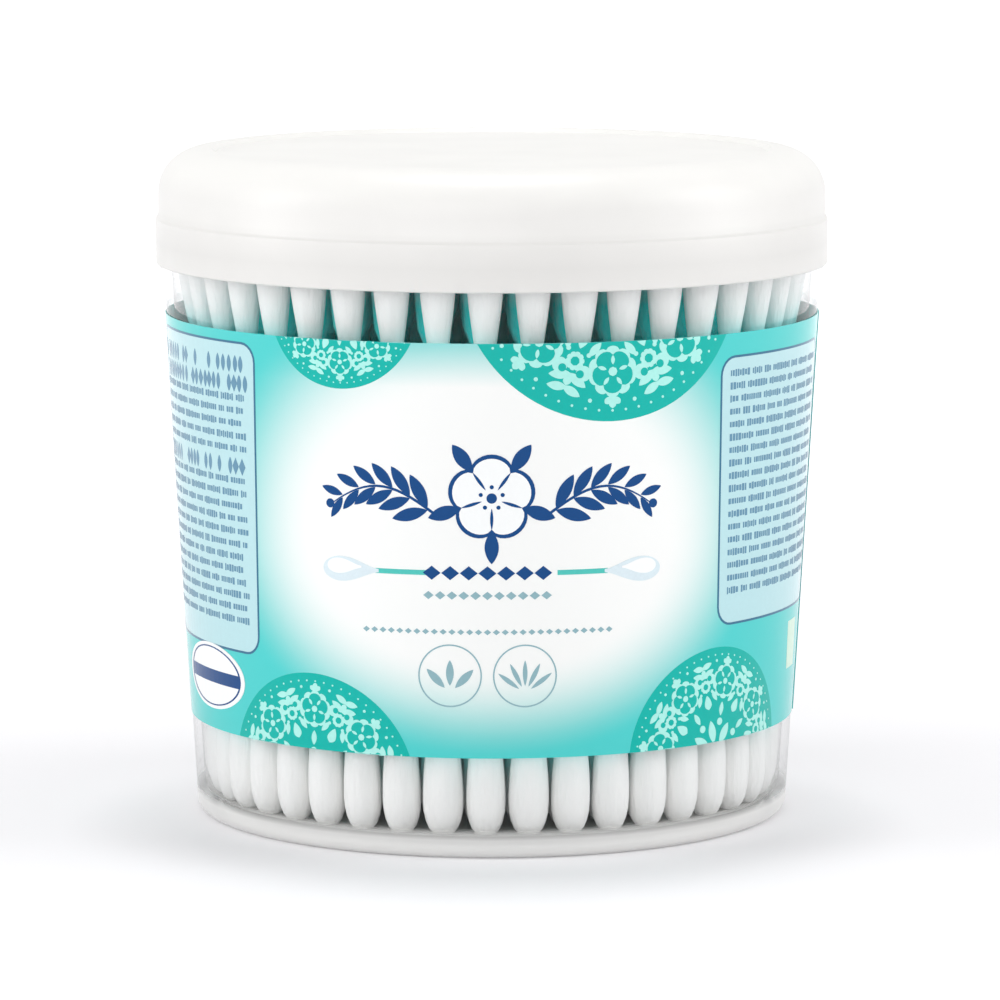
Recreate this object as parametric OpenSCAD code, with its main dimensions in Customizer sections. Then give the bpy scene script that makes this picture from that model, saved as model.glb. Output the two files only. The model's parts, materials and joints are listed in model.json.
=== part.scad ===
// Cotton swab tub: a clear moulded tub full of upright swabs, with a press-on lid and a printed film label.
// Millimetres, +Z up. The origin is the centre of the foot ring, on the table.

/* [Tub] */
// Draft of the wall in degrees, so that it widens towards the mouth
wall_draft = 3.33; // [1:0.01:4.5]
// Thickness of the wall
wall_t = 1.0; // [0.6:0.05:1.6]
// Thickness of the floor
floor_t = 1.2; // [0.8:0.1:2.4]
// Height of the foot ring under the floor
foot_h = 1.2; // [0.6:0.1:2.4]
// Width of the foot ring
foot_w = 2.8; // [2:0.1:5]
// Radius of the outside edge at the bottom
base_round = 1.5; // [0.5:0.1:1.8]
// Radius where the wall meets the floor inside
floor_round = 1.4; // [0.5:0.1:1.8]

/* [Neck] */
// Height of the neck's rim above the swabs
head_room = 0.5; // [0.3:0.1:3]
// Outer radius of the ledge past the wall below it
ledge_out = 0.4; // [0.2:0.05:1]
// Thickness of the ledge
ledge_t = 1.0; // [0.6:0.1:2]
// Height of the flare under the ledge
flare_h = 4.2; // [3:0.1:5]
// Thickness of the neck above the ledge
neck_t = 0.75; // [0.5:0.05:0.9]
// Height of the neck above the ledge
neck_h = 8.7; // [8:0.1:9.5]
// How far the snap bead stands out of the neck
snap_out = 0.2; // [0.1:0.01:0.3]
// Height of the snap bead above the ledge
snap_z = 4.6; // [4:0.1:5]

/* [Lid] */
// Height of the lid's top above the neck's rim
dome_h = 5.4; // [4:0.1:8]
// Thickness of the lid's walls
lid_t = 0.75; // [0.6:0.05:1]
// Gap between the neck and the lid's upper wall
lid_gap = 0.1; // [0.05:0.01:0.2]
// Height of the wider grip band at the lid's lower edge, past the snap bead
band_over = 1.2; // [1:0.1:1.8]
// How far the grip band stands out past the upper wall
band_out = 0.3; // [0.2:0.05:0.6]
// Running gap between the snap bead and the rib inside the lid
snap_gap = 0.05; // [0.03:0.01:0.1]
// Radius of the lid's shoulder
lid_round = 5.4; // [4:0.1:5.6]
// Width of the flat rim round the recessed panel on the lid's top
lid_rim_w = 1.3; // [0.8:0.1:6]
// Depth of the recessed panel
panel_drop = 0.5; // [0.2:0.1:0.6]

/* [Label] */
// Height of the label's lower edge
label_z = 12.4; // [8:0.1:20]
// Distance from the label's upper edge to the flare
label_top_gap = 0.8; // [0.5:0.1:20]
// Thickness of the film
label_t = 0.12; // [0.08:0.01:0.2]
// Gap between the film and the wall
label_gap = 0.02; // [0.01:0.01:0.05]
// Width of the overlap at the label's seam
seam_w = 7; // [4:0.5:12]
// Thickness of one layer of printed ink
ink_t = 0.02; // [0.01:0.005:0.03]

/* [Print] */
// Height of the tinted border along each edge of the label
border_h = 3.2; // [1:0.1:6]
// Width of a side panel
panel_w = 29; // [20:0.5:32]
// Distance from the side panels' edges to those of the next face
panel_gap = 2.4; // [1:0.1:8]
// Distance of a side panel's lower edge from the label's
panel_low = 10.4; // [6:0.1:16]
// Distance of a side panel's upper edge from the label's
panel_high = 3.6; // [3.4:0.1:8]

/* [Swabs] */
// Length of one swab from tip to tip
swab_len = 74; // [73:0.1:74.4]
// Diameter of a cotton bud at its widest
bud_d = 4.9; // [4.4:0.05:5.2]
// Length of a cotton bud
bud_len = 15.5; // [12:0.1:20]
// Distance from a bud's tip to its widest place
bud_wide = 4; // [3:0.1:5]
// Radius of the flat at a bud's tip
tip_r = 0.8; // [0.4:0.05:1.2]
// Diameter of the stick
stick_d = 2.3; // [1.8:0.05:2.6]
// Cotton over the end of the stick
tip_cover = 2.0; // [1:0.1:3]
// Thickness of the cotton where the bud tapers out on the stick
tail_t = 0.12; // [0.08:0.01:0.3]
// Gap between neighbouring buds of one ring
bud_gap = 0.1; // [0.05:0.01:0.25]
// Gap between one ring of buds and the next
ring_gap = 0.15; // [0.05:0.01:0.4]
// Gap between the three buds in the middle
core_gap = 0.5; // [0.3:0.01:1]
// Gap between the outer ring of buds and the wall
wall_gap = 0.15; // [0.1:0.01:0.4]
// Turn of the outer ring about the axis in degrees
ring_turn = -1.2; // [-4:0.1:4]

/* [Hidden] */
$fn = 96;

// Steps in a quarter round of a turned profile
round_steps = 6;
// Clearance of the stick in its socket
socket_gap = 0.02;
// Rounding of thin moulded edges
edge_round = 0.3;
// Width of the thin printed lines
line_w = 0.35;
// Place of the label's seam in degrees round from the front
seam_at = 92;

// Heights that follow from the sizes above
floor_z = foot_h + floor_t;
rim_z = floor_z + swab_len + head_room;
ledge_z = rim_z - neck_h;
lid_top_z = rim_z + dome_h;
flare_z = ledge_z - ledge_t - flare_h;
label_top_z = flare_z - label_top_gap;
label_h = label_top_z - label_z;

// The rings of swabs: three stand in the middle, and the wall stands off the outermost ring
rings = 7;
core_r = (bud_d + core_gap) / 2 / sin(60);
ring_1_r = core_r + (rings - 1) * (bud_d + ring_gap);
function ring_r(k) = ring_1_r - (k - 1) * (bud_d + ring_gap);
function ring_count(k) = floor(180 / asin((bud_d + bud_gap) / 2 / ring_r(k)));

// The tapered wall inside and outside, and the neck above it
bud_wall_z = floor_z + bud_wide;
wall_r = ring_1_r + bud_d / 2 + wall_gap + wall_t / cos(wall_draft) - bud_wall_z * tan(wall_draft);
function wall_out(z) = wall_r + z * tan(wall_draft);
function wall_in(z) = wall_out(z) - wall_t / cos(wall_draft);
ledge_r = wall_out(ledge_z) + ledge_out;
neck_in = wall_in(ledge_z);
neck_out = neck_in + neck_t;
cap_in = neck_out + lid_gap;
cap_out = cap_in + lid_t;
band_in = cap_in + band_out;
band_r = cap_out + band_out;
film_out = label_gap + label_t;
label_r = wall_out(label_z + label_h / 2) + film_out;
face_w = PI * label_r;

// Points of an arc from angle a0 to angle a1
function arc(x, y, r, a0, a1) =
  [for (i = [0 : round_steps])
    let (a = a0 + (a1 - a0) * i / round_steps)
    [x + r * cos(a), y + r * sin(a)]];

// The swabs of a ring lean out from the axis, so that the outermost top buds stand just off the neck
lean_room = neck_in - wall_gap - bud_d / 2 - ring_1_r;
full_lean = atan(lean_room / (swab_len - 2 * bud_wide));
function ring_lean(k) = full_lean * ring_r(k) / ring_1_r;

// Radius of a bud at a distance s from its tip
tail_r = stick_d / 2 + tail_t;
function tip_curve(s) = tip_r + (bud_d / 2 - tip_r) * sqrt(1 - pow(1 - s / bud_wide, 2));
function tail_curve(s) =
  tail_r + (bud_d / 2 - tail_r) * cos(90 * (s - bud_wide) / (bud_len - bud_wide));

// The tub's wall, floor, foot ring, flare, ledge and neck, turned as one profile.
module tub() {
  base_c = wall_out(base_round) - base_round;
  floor_c = wall_in(floor_z + floor_round) - floor_round;
  bead_z = ledge_z + snap_z;
  profile = concat(
    [[0, foot_h], [base_c - foot_w + base_round, foot_h], [base_c - foot_w + base_round + foot_h / 4, 0]],
    arc(base_c, base_round, base_round, -90, -wall_draft),
    [for (i = [0 : round_steps])
      let (t = i / round_steps, z = flare_z + flare_h * t)
      [wall_out(z) + ledge_out * (1 - cos(180 * t)) / 2, z]],
    [[ledge_r, ledge_z - ledge_t], [ledge_r, ledge_z], [neck_out, ledge_z],
      [neck_out, bead_z - snap_out * 2], [neck_out + snap_out, bead_z], [neck_out, bead_z + snap_out * 3]],
    arc(neck_out - edge_round, rim_z - edge_round, edge_round, 0, 90),
    [[neck_in, rim_z], [neck_in, ledge_z]],
    arc(floor_c, floor_z + floor_round, floor_round, -wall_draft, -90),
    [[0, floor_z]]
  );
  color("azure", 0.4)
  rotate_extrude() polygon(profile);
}

// The lid: grip band, step, shoulder and recessed panel outside, and a snap rib inside.
module lid() {
  round_c = cap_out - lid_round;
  round_z = lid_top_z - lid_round;
  round_in = lid_round - lid_t;
  panel_z = lid_top_z - panel_drop;
  panel_r = round_c - lid_rim_w - panel_drop;
  panel_in = panel_r - lid_t;
  rib_z = ledge_z + snap_z - snap_out * 4;
  rib_in = neck_out + snap_out + snap_gap;
  step_z = ledge_z + snap_z + band_over;
  outside = concat(
    [[band_in, ledge_z]],
    arc(band_r - edge_round, ledge_z + edge_round, edge_round, -90, 0),
    arc(band_r - edge_round, step_z - edge_round, edge_round, 0, 60),
    [[cap_out, step_z + edge_round]],
    arc(round_c, round_z, lid_round, 0, 90),
    [[panel_r + panel_drop, lid_top_z], [panel_r, panel_z], [0, panel_z]]
  );
  inside = concat(
    [[0, panel_z - lid_t], [panel_in, panel_z - lid_t], [panel_in + panel_drop, lid_top_z - lid_t]],
    arc(round_c, round_z, round_in, 90, 0),
    [[cap_in, step_z - lid_t], [band_in, step_z - lid_t - band_out], [band_in, rib_z + snap_out * 2],
      [rib_in, rib_z], [rib_in, rib_z - snap_out], [band_in, rib_z - snap_out * 4]]
  );
  color("whitesmoke", 0.85)
  rotate_extrude() polygon(concat(outside, inside));
}

// Thin shell on the label between two heights, from depth a to depth b past the wall.
module film(z0, z1, a, b, angle = 360) {
  rotate_extrude(angle = angle)
    polygon([
      [wall_out(z0) + a, z0], [wall_out(z0) + b, z0],
      [wall_out(z1) + b, z1], [wall_out(z1) + a, z1]
    ]);
}

// A field of ink on the film, at a place round the wall from the front, between two heights on the label.
module ink_field(at, w, z0, z1, layers) {
  turn = 180 / face_w;
  rotate([0, 0, (at - w / 2) * turn - 90])
    film(label_z + z0, label_z + z1, film_out - ink_t, film_out + layers * ink_t, w * turn);
}

// A side panel: a pale field inside a thin dark outline.
module side_panel(side) {
  at = side * (face_w - panel_gap - panel_w) / 2;
  top = label_h - panel_high;
  color("steelblue") ink_field(at, panel_w, panel_low, top, 1);
  color("lightcyan") ink_field(at, panel_w - 2 * line_w, panel_low + line_w, top - line_w, 2);
}

// The film wrapped round the wall, with a lapped seam, and its print as raised ink on two faces.
module label() {
  seam_angle = seam_w / wall_out(label_z) * 180 / PI;
  color("white") film(label_z, label_top_z, label_gap, film_out);
  color("white") rotate([0, 0, seam_at - 90])
    film(label_z, label_top_z, film_out - ink_t, film_out + label_t, seam_angle);
  color("mediumturquoise") {
    film(label_z, label_z + border_h, film_out - ink_t, film_out + ink_t);
    film(label_top_z - border_h, label_top_z, film_out - ink_t, film_out + ink_t);
  }
  for (face = [0, 180], side = [-1, 1])
    rotate([0, 0, face]) side_panel(side);
}

// One stick of a swab that stands on the origin, from inside its lower bud to inside its upper bud.
module stick() {
  translate([0, 0, tip_cover])
    cylinder(d = stick_d, h = swab_len - 2 * tip_cover);
}

// One cotton bud standing on its tip, with the socket that holds the end of the stick.
module bud() {
  socket_r = stick_d / 2 + socket_gap;
  tip = [for (i = [0 : round_steps - 1]) bud_wide * (1 - cos(90 * i / round_steps))];
  tail = [for (i = [0 : round_steps]) bud_wide + (bud_len - bud_wide) * i / round_steps];
  profile = concat(
    [for (s = tip) [tip_curve(s), s]],
    [for (s = tail) [tail_curve(s), s]],
    [[socket_r, bud_len], [socket_r, tip_cover], [0, tip_cover], [0, 0]]
  );
  rotate_extrude() polygon(profile);
}

// Stands a swab's piece at every seat of a ring, turned outwards about the widest place of the lower
// bud and raised so that the turned tip just touches the floor.
module each_seat(k) {
  count = ring_count(k);
  lean = ring_lean(k);
  turn_z = floor_z + bud_wide * cos(lean) + tip_r * sin(lean);
  for (i = [0 : count - 1])
    rotate([0, 0, ring_turn * k - 90 + 360 * i / count])
      translate([ring_r(k), 0, turn_z])
        rotate([0, lean, 0])
          translate([0, 0, -bud_wide])
            children();
}

// The sticks of one ring of swabs.
module sticks_ring(k) {
  color("turquoise") each_seat(k) stick();
}

// The buds at the lower ends of one ring of swabs.
module bottom_buds_ring(k) {
  color("snow") each_seat(k) bud();
}

// The buds at the upper ends of one ring of swabs.
module top_buds_ring(k) {
  color("snow") each_seat(k) translate([0, 0, swab_len]) mirror([0, 0, 1]) bud();
}

tub();
lid();
label();
sticks_ring(1);  // sticks_ring_1
sticks_ring(2);  // sticks_ring_2
sticks_ring(3);  // sticks_ring_3
sticks_ring(4);  // sticks_ring_4
sticks_ring(5);  // sticks_ring_5
sticks_ring(6);  // sticks_ring_6
sticks_ring(7);  // sticks_ring_7
bottom_buds_ring(1);  // bottom_buds_ring_1
bottom_buds_ring(2);  // bottom_buds_ring_2
bottom_buds_ring(3);  // bottom_buds_ring_3
bottom_buds_ring(4);  // bottom_buds_ring_4
bottom_buds_ring(5);  // bottom_buds_ring_5
bottom_buds_ring(6);  // bottom_buds_ring_6
bottom_buds_ring(7);  // bottom_buds_ring_7
top_buds_ring(1);  // top_buds_ring_1
top_buds_ring(2);  // top_buds_ring_2
top_buds_ring(3);  // top_buds_ring_3
top_buds_ring(4);  // top_buds_ring_4
top_buds_ring(5);  // top_buds_ring_5
top_buds_ring(6);  // top_buds_ring_6
top_buds_ring(7);  // top_buds_ring_7
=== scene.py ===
import json
import math
import random
import bpy
from mathutils import Matrix, Vector

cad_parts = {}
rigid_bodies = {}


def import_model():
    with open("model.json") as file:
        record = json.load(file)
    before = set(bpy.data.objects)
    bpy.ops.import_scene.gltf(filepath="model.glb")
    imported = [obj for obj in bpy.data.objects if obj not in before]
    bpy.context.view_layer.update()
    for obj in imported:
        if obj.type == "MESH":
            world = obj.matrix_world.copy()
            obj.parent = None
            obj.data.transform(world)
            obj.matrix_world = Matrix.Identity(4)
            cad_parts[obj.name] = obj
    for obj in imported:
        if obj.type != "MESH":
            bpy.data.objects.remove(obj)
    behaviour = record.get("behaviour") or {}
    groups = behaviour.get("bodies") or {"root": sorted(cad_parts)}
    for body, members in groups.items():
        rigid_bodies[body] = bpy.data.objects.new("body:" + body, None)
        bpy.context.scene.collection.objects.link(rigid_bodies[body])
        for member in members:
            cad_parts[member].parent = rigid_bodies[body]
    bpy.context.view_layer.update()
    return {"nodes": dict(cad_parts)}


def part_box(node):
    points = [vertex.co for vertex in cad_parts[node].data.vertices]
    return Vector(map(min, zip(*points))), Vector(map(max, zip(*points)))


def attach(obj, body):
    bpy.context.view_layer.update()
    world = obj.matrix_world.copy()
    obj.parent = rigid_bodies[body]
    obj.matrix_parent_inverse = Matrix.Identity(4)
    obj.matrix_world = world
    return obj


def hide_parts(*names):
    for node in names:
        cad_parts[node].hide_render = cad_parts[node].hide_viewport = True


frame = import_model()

mm = 0.001

# The camera stands well back and a little above the lid, and looks down at the middle of the tub.
# The tub sits a touch left of the picture's middle, which the small sideways shift gives.
camera_back = 720 * mm
camera_up = 134.8 * mm
camera_pitch = math.radians(7.63)
bpy.ops.object.camera_add(
    location=(0, -camera_back, camera_up), rotation=(math.pi / 2 - camera_pitch, 0, 0)
)
camera = bpy.context.object
camera.data.sensor_width = 36
camera.data.lens = 210.1
camera.data.shift_x = 0.0083
camera.data.clip_start = 10 * mm
bpy.context.scene.camera = camera
bpy.context.scene.view_settings.view_transform = "Standard"


# The studio: a white sweep for a floor and background, lit by the white room all round, with one
# large soft lamp in front, a narrower one at the right, a weak one at the left for the rim light and a
# small one overhead. The floor also glows where the camera sees it, more the farther it lies from the
# tub: painted light that whitens the far floor and leaves it darker round the tub.
def new_material(name):
    """A material with a Principled shader, its node tree and that shader."""
    material = bpy.data.materials.new(name)
    material.use_nodes = True
    tree = material.node_tree
    return material, tree, tree.nodes["Principled BSDF"]


def seen_directly(tree):
    """One where the ray comes from the camera, a reflection or through glass, and nought elsewhere."""
    path = tree.nodes.new("ShaderNodeLightPath")
    either = tree.nodes.new("ShaderNodeMath")
    either.operation = "MAXIMUM"
    tree.links.new(path.outputs["Is Camera Ray"], either.inputs[0])
    tree.links.new(path.outputs["Is Glossy Ray"], either.inputs[1])
    any_of = tree.nodes.new("ShaderNodeMath")
    any_of.operation = "MAXIMUM"
    tree.links.new(either.outputs[0], any_of.inputs[0])
    tree.links.new(path.outputs["Is Transmission Ray"], any_of.inputs[1])
    return any_of.outputs[0]


room_light = 0.6
world = bpy.data.worlds.new("white_room")
world.use_nodes = True
bpy.context.scene.world = world
sky = world.node_tree.nodes["Background"]
sky.inputs["Color"].default_value = (1, 1, 1, 1)
room_mix = world.node_tree.nodes.new("ShaderNodeMapRange")
room_mix.inputs["To Min"].default_value = room_light
room_mix.inputs["To Max"].default_value = 1.0
world.node_tree.links.new(seen_directly(world.node_tree), room_mix.inputs["Value"])
world.node_tree.links.new(room_mix.outputs["Result"], sky.inputs["Strength"])

floor_size = 6.0
floor_glow = 0.6
bpy.ops.mesh.primitive_plane_add(size=floor_size, location=(0, 0, 0))
floor = bpy.context.object
floor.name = "studio_floor"
floor_material, tree, paper = new_material("white_sweep")
paper.inputs["Base Color"].default_value = (0.86, 0.85, 0.87, 1)
paper.inputs["Roughness"].default_value = 0.9
paper.inputs["Specular IOR Level"].default_value = 0.1
paper.inputs["Emission Color"].default_value = (1, 1, 1, 1)
# Painted light: the glow that the camera sees grows with the distance from the tub, weak round the tub and full
# far off, so the floor is painted brighter far away and darker round the tub.
place = tree.nodes.new("ShaderNodeTexCoord")
away = tree.nodes.new("ShaderNodeVectorMath")
away.operation = "LENGTH"
tree.links.new(place.outputs["Object"], away.inputs[0])
painted_light_by_distance = tree.nodes.new("ShaderNodeMapRange")
painted_light_by_distance.inputs["From Min"].default_value = 0.1
painted_light_by_distance.inputs["From Max"].default_value = 0.6
painted_light_by_distance.inputs["To Min"].default_value = 0.10
painted_light_by_distance.inputs["To Max"].default_value = floor_glow
tree.links.new(away.outputs["Value"], painted_light_by_distance.inputs["Value"])
lift = tree.nodes.new("ShaderNodeMath")
lift.operation = "MULTIPLY"
tree.links.new(seen_directly(tree), lift.inputs[0])
tree.links.new(painted_light_by_distance.outputs["Result"], lift.inputs[1])
tree.links.new(lift.outputs[0], paper.inputs["Emission Strength"])
floor.data.materials.append(floor_material)


def soft_lamp(name, place, width, height, power, tint=(1, 1, 1)):
    """A rectangular soft lamp that faces the middle of the tub."""
    bpy.ops.object.light_add(type="AREA", location=place)
    lamp = bpy.context.object
    lamp.name = name
    lamp.data.shape = "RECTANGLE"
    lamp.data.size = width
    lamp.data.size_y = height
    lamp.data.energy = power
    lamp.data.color = tint
    lamp.visible_camera = False
    aim = Vector((0, 0, 40 * mm)) - Vector(place)
    lamp.rotation_euler = aim.to_track_quat("-Z", "Y").to_euler()
    return lamp


soft_lamp("front_softbox", (-0.25, -1.15, 0.42), 0.9, 0.6, 3.4)
soft_lamp("right_softbox", (0.95, -0.1, 0.35), 0.5, 0.9, 3.6)
soft_lamp("left_softbox", (-1.0, -0.2, 0.4), 0.4, 0.8, 3.0)
soft_lamp("top_softbox", (0.0, 0.2, 1.35), 0.3, 0.3, 5.6)


# The tub: one clear injection-moulded cup. Its wall widens upwards from a foot ring, flares to a
# ledge that stops the lid, and ends in a thin neck with a bead that the lid's rib presses over.
tub_low, tub_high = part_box("tub")
wall_draft = math.radians(3.33)
wall_t = 1.0 * mm
floor_top = 2.4 * mm
foot_h = 1.2 * mm
foot_w = 2.8 * mm
base_round = 1.5 * mm
floor_round = 1.4 * mm
neck_h = 8.7 * mm
neck_t = 0.75 * mm
ledge_out = 0.4 * mm
ledge_t = 1.0 * mm
flare_h = 4.2 * mm
bead_out = 0.2 * mm
bead_up = 4.6 * mm
edge_round = 0.3 * mm
rim_z = tub_high.z
ledge_z = rim_z - neck_h
wall_r = tub_high.x - ledge_out - ledge_z * math.tan(wall_draft)
turn_steps = 240


def wall_out(z):
    """Radius of the tub's outside wall at a height."""
    return wall_r + z * math.tan(wall_draft)


def wall_in(z):
    """Radius of the tub's inside wall at a height."""
    return wall_out(z) - wall_t / math.cos(wall_draft)


def arc(r, z, radius, start, end, steps=6):
    """Points of a round corner in a turned profile, between two angles in degrees."""
    angles = [math.radians(start + (end - start) * i / steps) for i in range(steps + 1)]
    return [(r + radius * math.cos(a), z + radius * math.sin(a)) for a in angles]


def turned(name, profile, steps=turn_steps, ring=False):
    """A piece turned about the axis: a circle is extruded and scaled from point to point of the profile."""
    bpy.ops.object.select_all(action="DESELECT")
    r, z = profile[0]
    bpy.ops.mesh.primitive_circle_add(
        vertices=steps, radius=r, location=(0, 0, z), fill_type="NOTHING" if ring else "NGON"
    )
    piece = bpy.context.object
    piece.name = name
    bpy.ops.object.mode_set(mode="EDIT")
    bpy.ops.mesh.select_all(action="SELECT")
    for r1, z1 in profile[1:] + (profile[:1] if ring else []):
        bpy.ops.mesh.extrude_edges_move(TRANSFORM_OT_translate={"value": (0, 0, z1 - z)})
        bpy.ops.transform.resize(value=(r1 / r, r1 / r, 1))
        r, z = r1, z1
    if ring:
        bpy.ops.mesh.select_all(action="SELECT")
        bpy.ops.mesh.remove_doubles(threshold=0.001 * mm)
    else:
        bpy.ops.mesh.edge_face_add()
    bpy.ops.mesh.select_all(action="SELECT")
    bpy.ops.mesh.normals_make_consistent(inside=False)
    bpy.ops.object.mode_set(mode="OBJECT")
    bpy.ops.object.transform_apply(location=True, rotation=True, scale=True)
    bpy.ops.object.shade_smooth_by_angle(angle=math.radians(35))
    return piece


base_c = wall_out(base_round) - base_round
floor_c = wall_in(floor_top + floor_round) - floor_round
neck_in = wall_in(ledge_z)
neck_out = neck_in + neck_t
ledge_r = wall_out(ledge_z) + ledge_out
flare_z = ledge_z - ledge_t - flare_h
bead_z = ledge_z + bead_up
flare_steps = 10
tub_profile = [
    (base_c - foot_w + base_round, foot_h),
    (base_c - foot_w + base_round + foot_h / 4, 0),
]
tub_profile += arc(base_c, base_round, base_round, -90, -3.33)
for i in range(flare_steps + 1):
    share = i / flare_steps
    z = flare_z + flare_h * share
    tub_profile.append((wall_out(z) + ledge_out * (1 - math.cos(math.pi * share)) / 2, z))
tub_profile += [
    (ledge_r, ledge_z - ledge_t),
    (ledge_r, ledge_z),
    (neck_out, ledge_z),
    (neck_out, bead_z - 2 * bead_out),
    (neck_out + bead_out, bead_z),
    (neck_out, bead_z + 3 * bead_out),
]
tub_profile += arc(neck_out - edge_round, rim_z - edge_round, edge_round, 0, 90)
tub_profile += [(neck_in, rim_z), (neck_in, ledge_z)]
tub_profile += arc(floor_c, floor_top + floor_round, floor_round, -3.33, -90)
tub = turned("clear_tub", tub_profile)


def lets_light_in(tree, surface, tint):
    """Lets light from the lamps and the room pass the film to the swabs behind it, in the film's own
    colour, half of it at each of its two faces, and leaves what the eye sees to the surface."""
    path = tree.nodes.new("ShaderNodeLightPath")
    unseen = tree.nodes.new("ShaderNodeMath")
    unseen.operation = "MAXIMUM"
    tree.links.new(path.outputs["Is Shadow Ray"], unseen.inputs[0])
    tree.links.new(path.outputs["Is Diffuse Ray"], unseen.inputs[1])
    clear = tree.nodes.new("ShaderNodeBsdfTransparent")
    half_way = tree.nodes.new("ShaderNodeGamma")
    half_way.inputs["Gamma"].default_value = 0.5
    tree.links.new(tint, half_way.inputs["Color"])
    tree.links.new(half_way.outputs["Color"], clear.inputs["Color"])
    mix = tree.nodes.new("ShaderNodeMixShader")
    tree.links.new(unseen.outputs[0], mix.inputs["Fac"])
    tree.links.new(surface, mix.inputs[1])
    tree.links.new(clear.outputs["BSDF"], mix.inputs[2])
    tree.links.new(mix.outputs["Shader"], tree.nodes["Material Output"].inputs["Surface"])


def object_noise(tree, size, detail=3, stretch=(1, 1, 1)):
    """Noise laid in the piece's own space, with grains of the given size in metres."""
    coordinates = tree.nodes.new("ShaderNodeTexCoord")
    mapping = tree.nodes.new("ShaderNodeMapping")
    mapping.inputs["Scale"].default_value = stretch
    noise = tree.nodes.new("ShaderNodeTexNoise")
    noise.inputs["Scale"].default_value = 1 / size
    noise.inputs["Detail"].default_value = detail
    tree.links.new(coordinates.outputs["Object"], mapping.inputs["Vector"])
    tree.links.new(mapping.outputs["Vector"], noise.inputs["Vector"])
    return noise.outputs["Fac"]


def spread(tree, value, low, high):
    """Spreads a value from nought to one over another range."""
    span = tree.nodes.new("ShaderNodeMapRange")
    span.inputs["To Min"].default_value = low
    span.inputs["To Max"].default_value = high
    tree.links.new(value, span.inputs["Value"])
    return span.outputs["Result"]


def add_bump(tree, shader, height, depth, strength=1.0):
    """Raises the surface by a height value, up to a depth in metres."""
    bump = tree.nodes.new("ShaderNodeBump")
    bump.inputs["Distance"].default_value = depth
    bump.inputs["Strength"].default_value = strength
    tree.links.new(height, bump.inputs["Height"])
    tree.links.new(bump.outputs["Normal"], shader.inputs["Normal"])


clear_material, tree, plastic = new_material("clear_moulded_plastic")
plastic.inputs["Base Color"].default_value = (0.93, 0.925, 0.91, 1)
plastic.inputs["Roughness"].default_value = 0.35
waves = tree.nodes.new("ShaderNodeBump")
waves.inputs["Distance"].default_value = 0.05 * mm
waves.inputs["Strength"].default_value = 0.4
tree.links.new(object_noise(tree, 14 * mm, stretch=(1, 1, 0.3)), waves.inputs["Height"])
see_through = tree.nodes.new("ShaderNodeBsdfTransparent")
see_through.inputs["Color"].default_value = (0.985, 0.99, 0.99, 1)
shine = tree.nodes.new("ShaderNodeBsdfAnisotropic")
shine.inputs["Anisotropy"].default_value = 0
tree.links.new(spread(tree, object_noise(tree, 9 * mm), 0.03, 0.09), shine.inputs["Roughness"])
tree.links.new(waves.outputs["Normal"], shine.inputs["Normal"])
facing = tree.nodes.new("ShaderNodeLayerWeight")
facing.inputs["Blend"].default_value = 0.5
tree.links.new(waves.outputs["Normal"], facing.inputs["Normal"])
grazing = tree.nodes.new("ShaderNodeMath")
grazing.operation = "POWER"
grazing.inputs[1].default_value = 5
tree.links.new(facing.outputs["Facing"], grazing.inputs[0])
clear = tree.nodes.new("ShaderNodeMixShader")
tree.links.new(spread(tree, grazing.outputs[0], 0.010, 0.9), clear.inputs["Fac"])
tree.links.new(see_through.outputs["BSDF"], clear.inputs[1])
tree.links.new(shine.outputs["BSDF"], clear.inputs[2])
height = tree.nodes.new("ShaderNodeSeparateXYZ")
place = tree.nodes.new("ShaderNodeTexCoord")
tree.links.new(place.outputs["Object"], height.inputs["Vector"])
haze = tree.nodes.new("ShaderNodeMapRange")
haze.inputs["From Min"].default_value = 2.3 * mm
haze.inputs["From Max"].default_value = 3.6 * mm
haze.inputs["To Min"].default_value = 0.72
haze.inputs["To Max"].default_value = 0.0
tree.links.new(height.outputs["Z"], haze.inputs["Value"])
hazy = tree.nodes.new("ShaderNodeMixShader")
tree.links.new(haze.outputs["Result"], hazy.inputs["Fac"])
tree.links.new(clear.outputs["Shader"], hazy.inputs[1])
tree.links.new(plastic.outputs["BSDF"], hazy.inputs[2])
tree.links.new(hazy.outputs["Shader"], tree.nodes["Material Output"].inputs["Surface"])
tub.data.materials.append(clear_material)
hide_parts("tub")
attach(tub, "tub_body")


# The lid: one milky cap of soft plastic. A wide grip band hangs over the neck, a step above it leads
# to a round shoulder, and the top is a flat rim round a shallow recessed panel.
lid_low, lid_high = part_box("lid")
lid_t = 0.75 * mm
lid_gap = 0.1 * mm
band_out = 0.3 * mm
band_over = 1.2 * mm
shoulder_r = 5.4 * mm
lid_rim_w = 1.3 * mm
panel_drop = 0.5 * mm
rib_gap = 0.05 * mm
cap_in = neck_out + lid_gap
cap_out = cap_in + lid_t
band_r = cap_out + band_out
band_in = cap_in + band_out
step_z = bead_z + band_over
lid_top = lid_high.z
shoulder_c = cap_out - shoulder_r
shoulder_z = lid_top - shoulder_r
panel_r = shoulder_c - lid_rim_w - panel_drop
panel_z = lid_top - panel_drop
rib_z = bead_z - 4 * bead_out
rib_in = neck_out + bead_out + rib_gap
lid_profile = [
    (panel_r - lid_t, panel_z - lid_t),
    (panel_r - lid_t + panel_drop, lid_top - lid_t),
]
lid_profile += arc(shoulder_c, shoulder_z, shoulder_r - lid_t, 90, 0, 10)
lid_profile += [
    (cap_in, step_z - lid_t),
    (band_in, step_z - lid_t - band_out),
    (band_in, rib_z + 2 * bead_out),
    (rib_in, rib_z),
    (rib_in, rib_z - bead_out),
    (band_in, rib_z - 4 * bead_out),
    (band_in, ledge_z),
]
lid_profile += arc(band_r - edge_round, ledge_z + edge_round, edge_round, -90, 0)
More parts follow.
